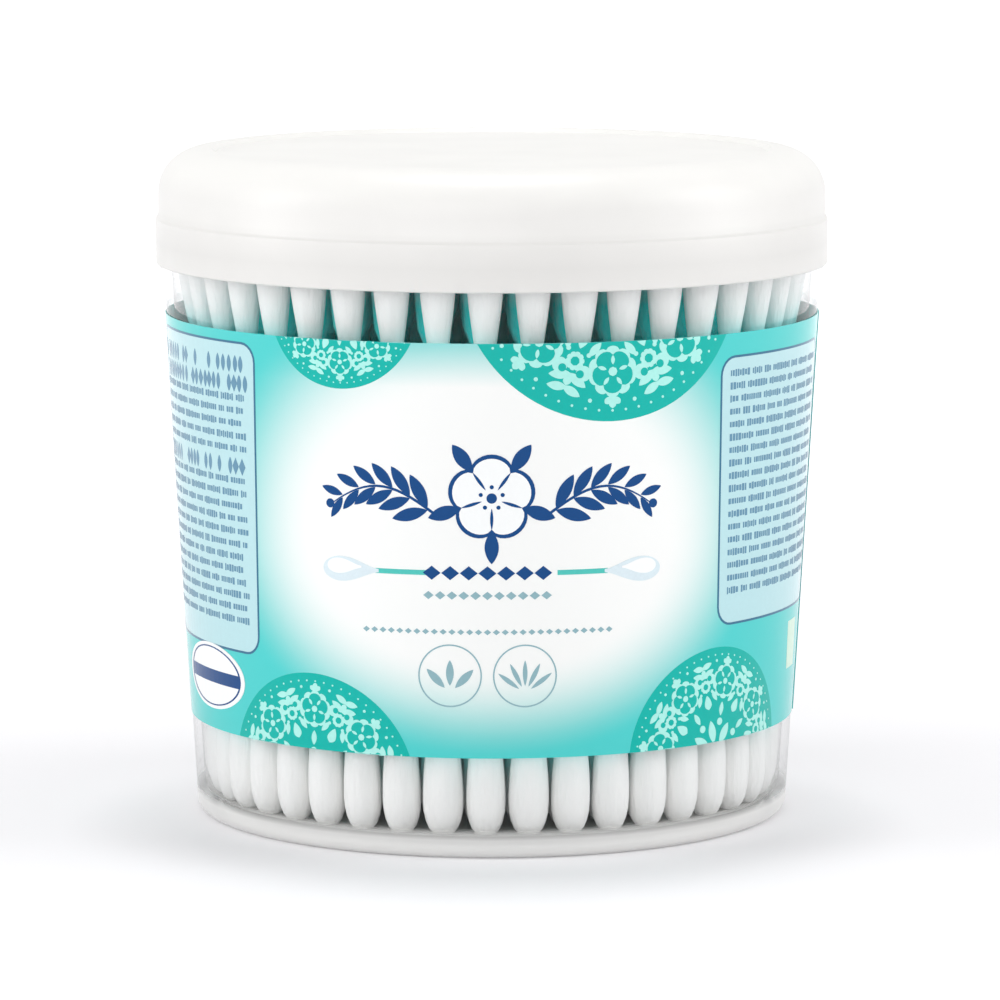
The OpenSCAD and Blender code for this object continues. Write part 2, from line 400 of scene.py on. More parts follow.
lid_profile += arc(band_r - edge_round, step_z - edge_round, edge_round, 0, 60)
lid_profile += [(cap_out, step_z + edge_round)]
lid_profile += arc(shoulder_c, shoulder_z, shoulder_r, 0, 90, 12)
lid_profile += [
    (panel_r + panel_drop, lid_top),
    (panel_r, panel_z),
]
lid = turned("milky_lid", lid_profile)

milky_material, tree, plastic = new_material("milky_soft_plastic")
plastic.inputs["Base Color"].default_value = (0.905, 0.898, 0.875, 1)
plastic.inputs["IOR"].default_value = 1.5
tree.links.new(spread(tree, object_noise(tree, 6 * mm), 0.28, 0.42), plastic.inputs["Roughness"])
add_bump(tree, plastic, object_noise(tree, 1.2 * mm), 0.01 * mm, 0.5)
glow = tree.nodes.new("ShaderNodeBsdfTranslucent")
glow.inputs["Color"].default_value = (0.93, 0.925, 0.91, 1)
milk = tree.nodes.new("ShaderNodeMixShader")
milk.inputs["Fac"].default_value = 0.08
see_through = tree.nodes.new("ShaderNodeBsdfTransparent")
cloud = tree.nodes.new("ShaderNodeMixShader")
tree.links.new(plastic.outputs["BSDF"], milk.inputs[1])
tree.links.new(glow.outputs["BSDF"], milk.inputs[2])
place = tree.nodes.new("ShaderNodeTexCoord")
height = tree.nodes.new("ShaderNodeSeparateXYZ")
tree.links.new(place.outputs["Object"], height.inputs["Vector"])
density = tree.nodes.new("ShaderNodeMapRange")
density.inputs["From Min"].default_value = step_z - 3 * mm
density.inputs["From Max"].default_value = step_z + 1 * mm
density.inputs["To Min"].default_value = 0.80
density.inputs["To Max"].default_value = 0.97
tree.links.new(height.outputs["Z"], density.inputs["Value"])
mottle = tree.nodes.new("ShaderNodeMath")
mottle.operation = "MULTIPLY"
tree.links.new(density.outputs["Result"], mottle.inputs[0])
tree.links.new(spread(tree, object_noise(tree, 12 * mm), 0.95, 1.03), mottle.inputs[1])
tree.links.new(mottle.outputs[0], cloud.inputs["Fac"])
tree.links.new(see_through.outputs["BSDF"], cloud.inputs[1])
tree.links.new(milk.outputs["Shader"], cloud.inputs[2])
tree.links.new(cloud.outputs["Shader"], tree.nodes["Material Output"].inputs["Surface"])
lid.data.materials.append(milky_material)
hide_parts("lid")
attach(lid, "lid_body")


# The sticks: thin extruded tubes of turquoise plastic, one in each swab, pressed into its two buds.
# They stand in rings between the tub's floor and the lid, and show only as colour between the buds.
rings = range(1, 8)
stick_material, tree, plastic = new_material("turquoise_stick_plastic")
stick_tint = tree.nodes.new("ShaderNodeMix")
stick_tint.data_type = "RGBA"
stick_tint.inputs["A"].default_value = (0.01, 0.64, 0.62, 1)
stick_tint.inputs["B"].default_value = (0.02, 0.78, 0.75, 1)
tree.links.new(object_noise(tree, 2 * mm, stretch=(1, 1, 0.1)), stick_tint.inputs["Factor"])
tree.links.new(stick_tint.outputs["Result"], plastic.inputs["Base Color"])
plastic.inputs["Roughness"].default_value = 0.4
for k in rings:
    sticks = frame["nodes"][f"sticks_ring_{k}"]
    for place in sticks.material_slots:
        place.material = stick_material


# The buds: white cotton wound round each end of a stick and pressed to a drop shape, widest near
# the tip and drawn in where it runs out on the stick. No two are wound quite alike.
bud_d = 4.9 * mm
bud_len = 15.5 * mm
bud_wide = 4 * mm
bud_tip = 0.8 * mm
bud_end = 1.27 * mm
bud_gap = 0.1 * mm
ring_gap = 0.15 * mm
core_gap = 0.5 * mm
swab_len = 74 * mm
ring_turn = math.radians(-1.2)
wall_gap = 0.15 * mm
core_r = (bud_d + core_gap) / 2 / math.sin(math.radians(60))


def ring_r(k):
    """Radius of a ring of swabs, the first at the wall and the seventh in the middle."""
    return core_r + (7 - k) * (bud_d + ring_gap)


def stand(k, i):
    """Place of a ring's swab that is modelled standing on the origin. It is turned outwards about the
    widest place of its lower bud, so that the outer ring's top buds stand just off the neck."""
    full_lean = math.atan((neck_in - wall_gap - bud_d / 2 - ring_r(1)) / (swab_len - 2 * bud_wide))
    lean = full_lean * ring_r(k) / ring_r(1)
    turn_z = floor_top + bud_wide * math.cos(lean) + bud_tip * math.sin(lean)
    a = ring_turn * k - math.pi / 2 + 2 * math.pi * i / ring_count(k)
    seat = Matrix.Rotation(a, 4, "Z") @ Matrix.Translation((ring_r(k), 0, turn_z))
    return seat @ Matrix.Rotation(lean, 4, "Y") @ Matrix.Translation((0, 0, -bud_wide))


def ring_count(k):
    """Number of swabs in a ring."""
    return math.floor(math.pi / math.asin((bud_d + bud_gap) / 2 / ring_r(k)))


def bud_profile(tip_steps, tail_steps, slimming):
    """Outline of a bud from its tip up to where it runs out on the stick. It keeps full for longer where
    the slimming is less than one."""
    points = [(0.1 * mm, 0)]
    for i in range(1, tip_steps):
        s = bud_wide * (1 - math.cos(math.pi / 2 * i / tip_steps))
        swell = math.sqrt(1 - (1 - s / bud_wide) ** 2)
        points.append((bud_tip + (bud_d / 2 - bud_tip) * swell, s))
    for i in range(tail_steps + 1):
        share = i / tail_steps
        s = bud_wide + (bud_len - bud_wide) * share
        swell = max(0.0, math.cos(math.pi / 2 * share)) ** slimming
        points.append((bud_end + (bud_d / 2 - bud_end) * swell, s))
    return points


def repeated(name, shape, places):
    """One mesh with a copy of the shape's mesh at each place, which is a matrix."""
    vertices, faces = [], []
    for place in places:
        start = len(vertices)
        vertices += [place @ v.co for v in shape.data.vertices]
        faces += [[start + i for i in f.vertices] for f in shape.data.polygons]
    mesh = bpy.data.meshes.new(name)
    mesh.from_pydata(vertices, [], faces)
    piece = bpy.data.objects.new(name, mesh)
    bpy.context.scene.collection.objects.link(piece)
    return piece


def cotton_material(name, tail_from, tail_to, tail_share):
    """Wound white cotton in upright fibres. Towards the bud's tail it turns turquoise, from one distance
    from the swab's middle to another: partly the stick's colour showing through the thin cotton, partly
    painted teal light that stands for the light coming in through the label."""
    material, tree, cotton = new_material(name)
    tint = tree.nodes.new("ShaderNodeMix")
    tint.data_type = "RGBA"
    tint.inputs["A"].default_value = (0.965, 0.95, 0.93, 1)
    tint.inputs["B"].default_value = (0.995, 0.985, 0.97, 1)
    fibres = object_noise(tree, 0.7 * mm, detail=4, stretch=(1, 1, 0.14))
    tree.links.new(fibres, tint.inputs["Factor"])
    place = tree.nodes.new("ShaderNodeTexCoord")
    height = tree.nodes.new("ShaderNodeSeparateXYZ")
    tree.links.new(place.outputs["Object"], height.inputs["Vector"])
    from_middle = tree.nodes.new("ShaderNodeMath")
    from_middle.operation = "SUBTRACT"
    from_middle.inputs[1].default_value = floor_top + swab_len / 2
    tree.links.new(height.outputs["Z"], from_middle.inputs[0])
    away = tree.nodes.new("ShaderNodeMath")
    away.operation = "ABSOLUTE"
    tree.links.new(from_middle.outputs[0], away.inputs[0])
    tail = tree.nodes.new("ShaderNodeMapRange")
    tail.inputs["From Min"].default_value = tail_from
    tail.inputs["From Max"].default_value = tail_to
    tail.inputs["To Min"].default_value = tail_share
    tail.inputs["To Max"].default_value = 0.0
    tree.links.new(away.outputs[0], tail.inputs["Value"])
    # Painted teal light: the turquoise laid on the tails is partly the stick showing through and partly colour
    # that stands for teal light through the label.
    stick_colour_and_painted_teal_light = tree.nodes.new("ShaderNodeMix")
    stick_colour_and_painted_teal_light.data_type = "RGBA"
    stick_colour_and_painted_teal_light.inputs["B"].default_value = (0.01, 0.88, 0.86, 1)
    tree.links.new(tail.outputs["Result"], stick_colour_and_painted_teal_light.inputs["Factor"])
    tree.links.new(tint.outputs["Result"], stick_colour_and_painted_teal_light.inputs["A"])
    tree.links.new(stick_colour_and_painted_teal_light.outputs["Result"], cotton.inputs["Base Color"])
    cotton.inputs["Roughness"].default_value = 0.95
    cotton.inputs["Specular IOR Level"].default_value = 0.15
    cotton.inputs["Subsurface Weight"].default_value = 0.5
    cotton.inputs["Subsurface Scale"].default_value = 2 * mm
    cotton.inputs["Subsurface Radius"].default_value = (1, 1, 1)
    cotton.inputs["Sheen Weight"].default_value = 0.25
    cotton.inputs["Sheen Roughness"].default_value = 0.6
    add_bump(tree, cotton, fibres, 0.35 * mm, 0.8)
    return material


# The inner buds' tails turn fully turquoise: the stick's colour and painted teal light together.
outer_cotton = cotton_material("wound_cotton", 21.5 * mm, 24.5 * mm, 0.3)
inner_cotton = cotton_material("wound_cotton_inside", 26 * mm, 31 * mm, 1.0)
wind = random.Random(11)
for k in rings:
    sides, tip_steps, tail_steps, slimming = (18, 5, 7, 1.0) if k == 1 else (10, 3, 6, 0.35)
    shape = turned(f"bud_pattern_{k}", bud_profile(tip_steps, tail_steps, slimming), steps=sides)
    for end in ("bottom", "top"):
        places = []
        for i in range(ring_count(k)):
            seat = stand(k, i)
            if end == "top":
                seat = seat @ Matrix.Translation((0, 0, swab_len)) @ Matrix.Rotation(math.pi, 4, "X")
            slim = wind.uniform(0.93, 1.0)
            spin = Matrix.Rotation(wind.uniform(0, math.tau), 4, "Z")
            places.append(seat @ spin @ Matrix.Diagonal((slim, slim, 1, 1)))
        buds = repeated(f"{end}_cotton_buds_{k}", shape, places)
        for face in buds.data.polygons:
            face.use_smooth = True
        buds.data.materials.append(outer_cotton if k == 1 else inner_cotton)
        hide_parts(f"{end}_buds_ring_{k}")
        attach(buds, "tub_body")
    bpy.data.objects.remove(shape)


# The label: one printed plastic film wrapped round the wall and lapped at the side. Its ground runs
# from turquoise at the corners to white in the middle of each of its two like faces.
label_z = 12.4 * mm
label_top_gap = 0.8 * mm
label_gap = 0.02 * mm
film_t = 0.12 * mm
seam_w = 7 * mm
seam_at = math.radians(92)
label_top = flare_z - label_top_gap
label_h = label_top - label_z
film_out = label_gap + film_t
label_r = wall_out(label_z + label_h / 2) + film_out
face_w = math.pi * label_r
film_profile = [
    (wall_out(label_z) + label_gap, label_z),
    (wall_out(label_z) + film_out, label_z),
    (wall_out(label_top) + film_out, label_top),
    (wall_out(label_top) + label_gap, label_top),
]
film = turned("label_film", film_profile, steps=360, ring=True)


def flat_piece(name, draw):
    """A flat piece drawn by the operator calls in draw, left selected in object mode."""
    bpy.ops.object.select_all(action="DESELECT")
    draw()
    piece = bpy.context.object
    piece.name = name
    bpy.ops.object.transform_apply(location=True, rotation=True, scale=True)
    return piece


def trim(piece, low, high):
    """Cuts a flat piece off below one height and above another, as the label's edges do."""
    bpy.ops.object.select_all(action="DESELECT")
    piece.select_set(True)
    bpy.context.view_layer.objects.active = piece
    bpy.ops.object.mode_set(mode="EDIT")
    for edge, upward in ((low, -1), (high, 1)):
        bpy.ops.mesh.select_all(action="SELECT")
        bpy.ops.mesh.bisect(plane_co=(0, edge, 0), plane_no=(0, upward, 0), clear_outer=True)
    bpy.ops.object.mode_set(mode="OBJECT")


strip_w = 1.3 * mm
course_h = 6 * mm


def wrapped(piece, layer, thickness=0.02 * mm):
    """Cuts a flat piece into small fields, gives it a thickness and bends it round the wall on the film.
    Its x runs round the wall from the front, as lengths on the film, and its y up from the lower edge."""
    bpy.ops.object.select_all(action="DESELECT")
    piece.select_set(True)
    bpy.context.view_layer.objects.active = piece
    bpy.ops.object.mode_set(mode="EDIT")
    for axis, step in ((0, strip_w), (1, course_h)):
        reach = [v.co[axis] for v in piece.data.vertices]
        across = (axis == 0, axis == 1, 0)
        for i in range(math.ceil(min(reach) / step), math.ceil(max(reach) / step)):
            bpy.ops.mesh.select_all(action="SELECT")
            bpy.ops.mesh.bisect(plane_co=(i * step, i * step, 0), plane_no=across)
    bpy.ops.mesh.select_all(action="SELECT")
    bpy.ops.mesh.extrude_region_move(TRANSFORM_OT_translate={"value": (0, 0, layer * thickness)})
    bpy.ops.mesh.select_all(action="SELECT")
    bpy.ops.mesh.normals_make_consistent(inside=False)
    bpy.ops.object.mode_set(mode="OBJECT")
    sunk = 0.01 * mm
    for v in piece.data.vertices:
        z = label_z + v.co.y
        r = wall_out(z) + film_out - sunk + v.co.z
        turn = v.co.x / wall_out(z)
        v.co = (r * math.sin(turn), -r * math.cos(turn), z)
    return piece


def dress(piece, material):
    """Gives a printed piece its ink and lets it go with the tub."""
    piece.data.materials.append(material)
    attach(piece, "tub_body")
    return piece


def math_node(tree, operation, first, second=None):
    """One Math node on sockets or numbers."""
    node = tree.nodes.new("ShaderNodeMath")
    node.operation = operation
    for place, value in enumerate((first, second)):
        if isinstance(value, (int, float)):
            node.inputs[place].default_value = value
        elif value is not None:
            tree.links.new(value, node.inputs[place])
    return node.outputs[0]


def ramp(tree, value, start, end):
    """Runs smoothly from nought at start to one at end."""
    span = tree.nodes.new("ShaderNodeMapRange")
    span.interpolation_type = "SMOOTHSTEP"
    span.inputs["From Min"].default_value = start
    span.inputs["From Max"].default_value = end
    tree.links.new(value, span.inputs["Value"])
    return span.outputs["Result"]


def face_middle(tree):
    """How white the ground is: one in the middle of a face, nought at its corners and edges."""
    middle_z = label_z + 26 * mm
    half_w = 33 * mm
    half_down = 22.3 * mm
    half_up = 28 * mm
    place = tree.nodes.new("ShaderNodeSeparateXYZ")
    coordinates = tree.nodes.new("ShaderNodeTexCoord")
    tree.links.new(coordinates.outputs["Object"], place.inputs["Vector"])
    slope = math_node(tree, "DIVIDE", place.outputs["X"], place.outputs["Y"])
    across = math_node(tree, "MULTIPLY", math_node(tree, "ARCTANGENT", slope), label_r / half_w)
    height = math_node(tree, "SUBTRACT", place.outputs["Z"], middle_z)
    down = math_node(tree, "DIVIDE", math_node(tree, "MINIMUM", height, 0.0), half_down)
    up = math_node(tree, "DIVIDE", math_node(tree, "MAXIMUM", height, 0.0), half_up)
    square = math_node(tree, "MULTIPLY", across, across)
    for part in (down, up):
        square = math_node(tree, "ADD", square, math_node(tree, "MULTIPLY", part, part))
    out = math_node(tree, "SQRT", square)
    middle = ramp(tree, out, 1.18, 0.66)
    edge_fade = tree.nodes.new("ShaderNodeMapRange")
    edge_fade.inputs["From Min"].default_value = label_top
    edge_fade.inputs["From Max"].default_value = label_top - 5.2 * mm
    edge_fade.inputs["To Min"].default_value = 0.36
    tree.links.new(place.outputs["Z"], edge_fade.inputs["Value"])
    edge = edge_fade.outputs["Result"]
    return math_node(tree, "MULTIPLY", middle, edge)


def film_finish(tree, ink):
    """The gloss of printed film: smooth, with the faint waves of a film stuck on by machine."""
    tree.links.new(spread(tree, object_noise(tree, 7 * mm), 0.10, 0.18), ink.inputs["Roughness"])
    ink.inputs["Specular IOR Level"].default_value = 0.22
    add_bump(tree, ink, object_noise(tree, 11 * mm, stretch=(1, 1, 0.4)), 0.06 * mm, 0.35)


def ink_material(name, colour, grain=0.06):
    """One printed ink: its colour with the fine uneven grain of a screen print, under the film's gloss."""
    material, tree, ink = new_material(name)
    tint = tree.nodes.new("ShaderNodeMix")
    tint.data_type = "RGBA"
    tint.inputs["A"].default_value = (*(c * (1 - grain) for c in colour), 1)
    tint.inputs["B"].default_value = (*(min(1.0, c * (1 + grain)) for c in colour), 1)
    tree.links.new(object_noise(tree, 0.4 * mm), tint.inputs["Factor"])
    tree.links.new(tint.outputs["Result"], ink.inputs["Base Color"])
    film_finish(tree, ink)
    lets_light_in(tree, ink.outputs["BSDF"], tint.outputs["Result"])
    return material


ground_teal = (0.075, 0.62, 0.60, 1)
ground_white = (0.92, 0.93, 0.915, 1)
label_material, tree, ink = new_material("glossy_printed_film")
ground = tree.nodes.new("ShaderNodeMix")
ground.data_type = "RGBA"
ground.inputs["A"].default_value = ground_teal
ground.inputs["B"].default_value = ground_white
tree.links.new(face_middle(tree), ground.inputs["Factor"])
tree.links.new(ground.outputs["Result"], ink.inputs["Base Color"])
film_finish(tree, ink)
lets_light_in(tree, ink.outputs["BSDF"], ground.outputs["Result"])
film.data.materials.append(label_material)
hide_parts("label")
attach(film, "tub_body")

lap = flat_piece("label_seam", lambda: bpy.ops.mesh.primitive_plane_add(size=1))
for v in lap.data.vertices:
    v.co = (seam_at * label_r + v.co.x * seam_w, (v.co.y + 0.5) * label_h, 0)
dress(wrapped(lap, 1, film_t), label_material)
for v in lap.data.vertices:
    spin = seam_at - seam_at * label_r / wall_out(v.co.z)
    v.co = Matrix.Rotation(spin, 3, "Z") @ v.co


# The medallions: round lace ornaments printed in deep teal and pale aqua, cut off by the label's
# edges. Eight open flowers stand in a ring, with leaves, buds and crowns between them and a border
# of dots.
def disc(radius, sides):
    bpy.ops.mesh.primitive_circle_add(vertices=sides, radius=radius, fill_type="NGON")


def polygon(name, points):
    """A flat shape with one face through the points."""
    mesh = bpy.data.meshes.new(name)
    mesh.from_pydata([(x, y, 0) for x, y in points], [], [range(len(points))])
    piece = bpy.data.objects.new(name, mesh)
    bpy.context.scene.collection.objects.link(piece)
    return piece


def petal_shape(name, width, fullest=0.5, steps=7):
    """A pointed petal one unit long from the origin up the y axis, widest part of the way along."""
    right = []
    for i in range(1, steps * 2):
        y = i / (steps * 2)
        share = y / fullest / 2 if y < fullest else 0.5 + (y - fullest) / (1 - fullest) / 2
        right.append((width / 2 * math.sin(math.pi * share) ** 0.8, y))
    left = [(-x, y) for x, y in reversed(right)]
    return polygon(name, [(x * unit, y * unit) for x, y in [(0, 0)] + right + [(0, 1)] + left])


def ring_shape(name, radius, width, sides):
    """A thin flat ring."""
    ring = flat_piece(name, lambda: disc(radius, sides))
    bpy.ops.object.mode_set(mode="EDIT")
    bpy.ops.mesh.select_all(action="SELECT")
    bpy.ops.mesh.inset(thickness=width)
    bpy.ops.mesh.delete(type="FACE")
    bpy.ops.object.mode_set(mode="OBJECT")
    return ring


def scalloped_shape(name, lobes, depth, points_a_lobe=8):
    """A disc of one unit's radius with a wavy edge, like a small flower."""
    points = []
    for i in range(lobes * points_a_lobe):
        a = math.tau * i / lobes / points_a_lobe
        r = unit * (1 - depth + depth * abs(math.cos(lobes * a / 2)) ** 0.6)
        points.append((r * math.sin(a), r * math.cos(a)))
    return polygon(name, points)


def at_angle(angle, reach, scale=1.0, lean=0.0):
    """A place at a distance from the origin, in a direction in degrees from up, leaning by an angle."""
    push = Matrix.Rotation(math.radians(-angle), 4, "Z") @ Matrix.Translation((0, reach, 0))
    return push @ Matrix.Rotation(math.radians(-lean), 4, "Z") @ Matrix.Scale(scale, 4)


def print_layer(name, stamps, layer, material):
    """Stamps flat shapes on both faces of the label as one layer of ink."""
    vertices, faces = [], []
    for shape, place in stamps:
        start = len(vertices)
        vertices += [place @ v.co for v in shape.data.vertices]
        faces += [[start + i for i in f.vertices] for f in shape.data.polygons]
    mesh = bpy.data.meshes.new(name)
    mesh.from_pydata(vertices, [], faces)
    one_face = bpy.data.objects.new(name, mesh)
    bpy.context.scene.collection.objects.link(one_face)
    trim(one_face, 0.02 * mm, label_h - 0.02 * mm)
    wrapped(one_face, layer)
    both = repeated(name, one_face, [Matrix(), Matrix.Rotation(math.pi, 4, "Z")])
    bpy.data.objects.remove(one_face)
    both.name = name
    return dress(both, material)


unit = 1 * mm
medallions = [
    (-18.6 * mm, label_h + 4.2 * mm, 10.0 * mm, 44),
    (14.5 * mm, label_h + 9.1 * mm, 18.6 * mm, 0),
    (-22.7 * mm, -4.3 * mm, 13.6 * mm, 2),
    (30.0 * mm, -1.4 * mm, 13.1 * mm, 10),
]
ground_disc = flat_piece("disc_pattern", lambda: disc(unit, 96))
leaf = petal_shape("leaf_pattern", 0.42)
drop = petal_shape("drop_pattern", 0.62, 0.68)
flower = scalloped_shape("flower_pattern", 5, 0.24)
frill = scalloped_shape("frill_pattern", 10, 0.12, 6)
spot = flat_piece("spot_pattern", lambda: disc(unit, 8))
round_dot = flat_piece("dot_pattern", lambda: disc(unit, 20))

grounds, lace, hearts, sparks = [], [], [], []
for x, y, r, turn in medallions:
    centre = Matrix.Translation((x, y, 0)) @ Matrix.Scale(r / unit, 4) @ at_angle(turn, 0)
    grounds.append((ground_disc, centre))
    dots = 64
    lace += [(spot, centre @ at_angle(360 * i / dots, 0.93 * unit, 0.009)) for i in range(dots)]
    for i in range(8):
        a = 45 * i + 180
        lace.append((frill, centre @ at_angle(a, 0.68 * unit, 0.165)))
        hearts.append((flower, centre @ at_angle(a, 0.68 * unit, 0.140)))
        sparks.append((spot, centre @ at_angle(a, 0.68 * unit, 0.030)))
        for b in range(0, 360, 72):
            sparks.append((leaf, centre @ at_angle(a, 0.68 * unit) @ at_angle(b + 36, 0.045 * unit, 0.06)))
        for lean in (-48, 0, 48):
            lace.append((drop, centre @ at_angle(a, 0.838 * unit, 0.07 if lean else 0.078, lean)))
        for side in (-1, 1):
            lace.append((leaf, centre @ at_angle(a + side * 13.2, 0.80 * unit, 0.15, side * 118)))
            lace.append((leaf, centre @ at_angle(a + side * 21.4, 0.83 * unit, 0.135, side * 80)))
            lace.append((round_dot, centre @ at_angle(a + side * 15.8, 0.715 * unit, 0.05)))
            hearts.append((round_dot, centre @ at_angle(a + side * 17.6, 0.725 * unit, 0.026)))
            lace.append((spot, centre @ at_angle(a + side * 10, 0.875 * unit, 0.014)))
            lace.append((leaf, centre @ at_angle(a + side * 9, 0.50 * unit, 0.12, side * 35)))
            lace.append((spot, centre @ at_angle(a + side * 15.6, 0.595 * unit, 0.016)))
        between = a + 22.5
        lace.append((frill, centre @ at_angle(between, 0.655 * unit, 0.062)))
        hearts.append((spot, centre @ at_angle(between, 0.655 * unit, 0.03)))
        lace.append((drop, centre @ at_angle(between, 0.735 * unit, 0.085)))
        lace.append((drop, centre @ at_angle(between, 0.57 * unit, 0.14, 180)))
        lace.append((leaf, centre @ at_angle(a, 0.485 * unit, 0.13, 180)))
        lace.append((round_dot, centre @ at_angle(a, 0.30 * unit, 0.035)))
        lace.append((leaf, centre @ at_angle(between, 0.10 * unit, 0.22)))

deep_teal = ink_material("deep_teal_ink", (0.0, 0.455, 0.395))
pale_aqua = ink_material("pale_aqua_ink", (0.42, 0.85, 0.78))
print_layer("medallion_grounds", grounds, 1, deep_teal)
print_layer("medallion_lace", lace, 2, pale_aqua)
print_layer("medallion_hearts", hearts, 3, deep_teal)
print_layer("medallion_sparks", sparks, 4, pale_aqua)


# The side panels: pale rounded fields inside a thin blue outline, filled with rows of small upright
# ticks where a real label has its small print. The ticks are only ticks and spell nothing.
def rounded_shape(name, width, height, corner):
    """A flat rectangle with round corners, centred on the origin."""
    field = flat_piece(name, lambda: bpy.ops.mesh.primitive_plane_add(size=1))
    for v in field.data.vertices:
        v.co = (v.co.x * width, v.co.y * height, 0)
    bpy.ops.object.mode_set(mode="EDIT")
    bpy.ops.mesh.select_all(action="SELECT")
    bpy.ops.mesh.bevel(affect="VERTICES", offset=corner, segments=6)
    bpy.ops.object.mode_set(mode="OBJECT")
    return field


panel_w = 28 * mm
panel_corner = 2.4 * mm
outline_w = 0.28 * mm
panels = [(-1, -31.2 * mm, 10.4 * mm, 1.2 * mm), (1, 29.9 * mm, 14.2 * mm, 2.7 * mm)]
row_pitch = 1.56 * mm
tick_h = 0.86 * mm
heading_h = 2.1 * mm
margin = 1.7 * mm
bar = flat_piece("bar_pattern", lambda: bpy.ops.mesh.primitive_plane_add(size=1))
diamond = flat_piece("diamond_pattern", lambda: disc(unit, 4))
fields, outlines, ticks = [], [], []
words = random.Random(5)
for side, inner_edge, low, high in panels:
    height = label_h - low - high
    seat = Matrix.Translation((inner_edge + side * panel_w / 2, low + height / 2, 0))
    field = rounded_shape(f"field_pattern_{side}", panel_w - outline_w, height - outline_w, panel_corner)
    outline = rounded_shape(f"outline_pattern_{side}", panel_w, height, panel_corner)
    bpy.ops.object.mode_set(mode="EDIT")
    bpy.ops.mesh.select_all(action="SELECT")
    bpy.ops.mesh.inset(thickness=outline_w)
    bpy.ops.mesh.delete(type="FACE")
    bpy.ops.object.mode_set(mode="OBJECT")
    fields.append((field, seat))
    outlines.append((outline, seat))
    y = height / 2 - margin
    row = 0
    while y > -height / 2 + margin + tick_h * 2:
        heading = side < 0 and row in (0, 1, 7)
        x = -panel_w / 2 + margin
        while heading and x < panel_w / 2 - margin:
            mark = words.choice((leaf, leaf, diamond))
            tall = heading_h if mark == leaf else heading_h / 2
            base = y - heading_h if mark == leaf else y - heading_h / 2
            wide = 1.9 if mark == leaf else 0.62
            place = Matrix.Translation((x, base, 0)) @ Matrix.Diagonal((wide, tall / unit, 1, 1))
            if words.random() < 0.86:
                ticks.append((mark, seat @ place))
            x += words.uniform(0.95, 1.3) * mm
        while not heading and x < panel_w / 2 - margin - mm:
            for _ in range(words.randint(3, 9)):
                width = words.uniform(0.2, 0.45) * mm
                tall = tick_h * words.choice((0.75, 0.8, 1.0))
                if x + width > panel_w / 2 - margin:
                    break
                place = Matrix.Translation((x + width / 2, y - tick_h / 2, 0))
                ticks.append((bar, seat @ place @ Matrix.Diagonal((width, tall, 1, 1))))
                x += width + 0.15 * mm
            x += 0.45 * mm
        y -= heading_h + 0.25 * mm if heading else row_pitch
        row += 1

panel_blue = ink_material("panel_blue_ink", (0.49, 0.74, 0.78), 0.03)
line_blue = ink_material("line_blue_ink", (0.045, 0.17, 0.28))
tick_blue = ink_material("tick_blue_ink", (0.13, 0.29, 0.42))
print_layer("side_panels", fields, 1, panel_blue)
print_layer("side_panel_outlines", outlines, 2, line_blue)
print_layer("side_panel_ticks", ticks, 2, tick_blue)


# The middle of the face: an open cotton flower between two leafy branches, in dark blue, over two
# printed swabs, rows of small diamonds, two thin badges and an oval seal at the side.
sprig_y = 31.4 * mm
navy_inks, white_inks, fine_inks = [], [], []
boll = Matrix.Translation((0, sprig_y, 0))
navy_inks += [(leaf, boll @ at_angle(36 + 72 * i, 3.9 * mm, 4.0)) for i in range(5)]
petals = scalloped_shape("petals_pattern", 5, 0.22, 12)
white_inks.append((petals, boll @ Matrix.Scale(4.75, 4)))
boll_edge = [(petals, boll @ Matrix.Scale(5.25, 4))]
boll_lines = [(leaf, boll @ at_angle(36 + 72 * i, 1.2 * mm) @ Matrix.Diagonal((0.9, 2.6, 1, 1))) for i in range(5)]
boll_lines += [(round_dot, boll @ Matrix.Scale(0.62, 4))]
boll_lines += [(spot, boll @ at_angle(72 * i, 1.35 * mm, 0.26)) for i in range(5)]
stem_w = 0.42 * mm
for side in (-1, 1):
    top, bottom = [], []
    stem_steps = 16
    for i in range(stem_steps + 1):
        share = i / stem_steps
        x = (6.4 + 13.2 * share) * mm
        y = sprig_y + (-2.2 + 3.4 * math.sin(share * math.pi * 0.9)) * mm
        top.append((side * x, y + stem_w / 2 * (1 - share * 0.6)))
        bottom.append((side * x, y - stem_w / 2 * (1 - share * 0.6)))
    stem = polygon(f"stem_pattern_{side}", top + bottom[::-1])
    navy_inks.append((stem, Matrix()))
    for i in range(6):
        share = 0.09 + i / 6.2
        x = side * (6.4 + 13.2 * share) * mm
        y = sprig_y + (-2.2 + 3.4 * math.sin(share * math.pi * 0.9)) * mm
        rise = math.degrees(math.cos(share * math.pi * 0.9)) * 0.42
        length = 4.6 - 1.9 * share
        for lean, up in ((52, 1), (128, -1)):
            turn = side * (lean - rise)
            place = Matrix.Translation((x, y + up * stem_w * 0.4, 0)) @ at_angle(turn, 0)
            navy_inks.append((leaf, place @ Matrix.Diagonal((length * 0.82, length, 1, 1))))
    tip = Matrix.Translation((side * 19.9 * mm, sprig_y - 1.2 * mm, 0))
    navy_inks.append((round_dot, tip @ Matrix.Scale(0.55, 4)))

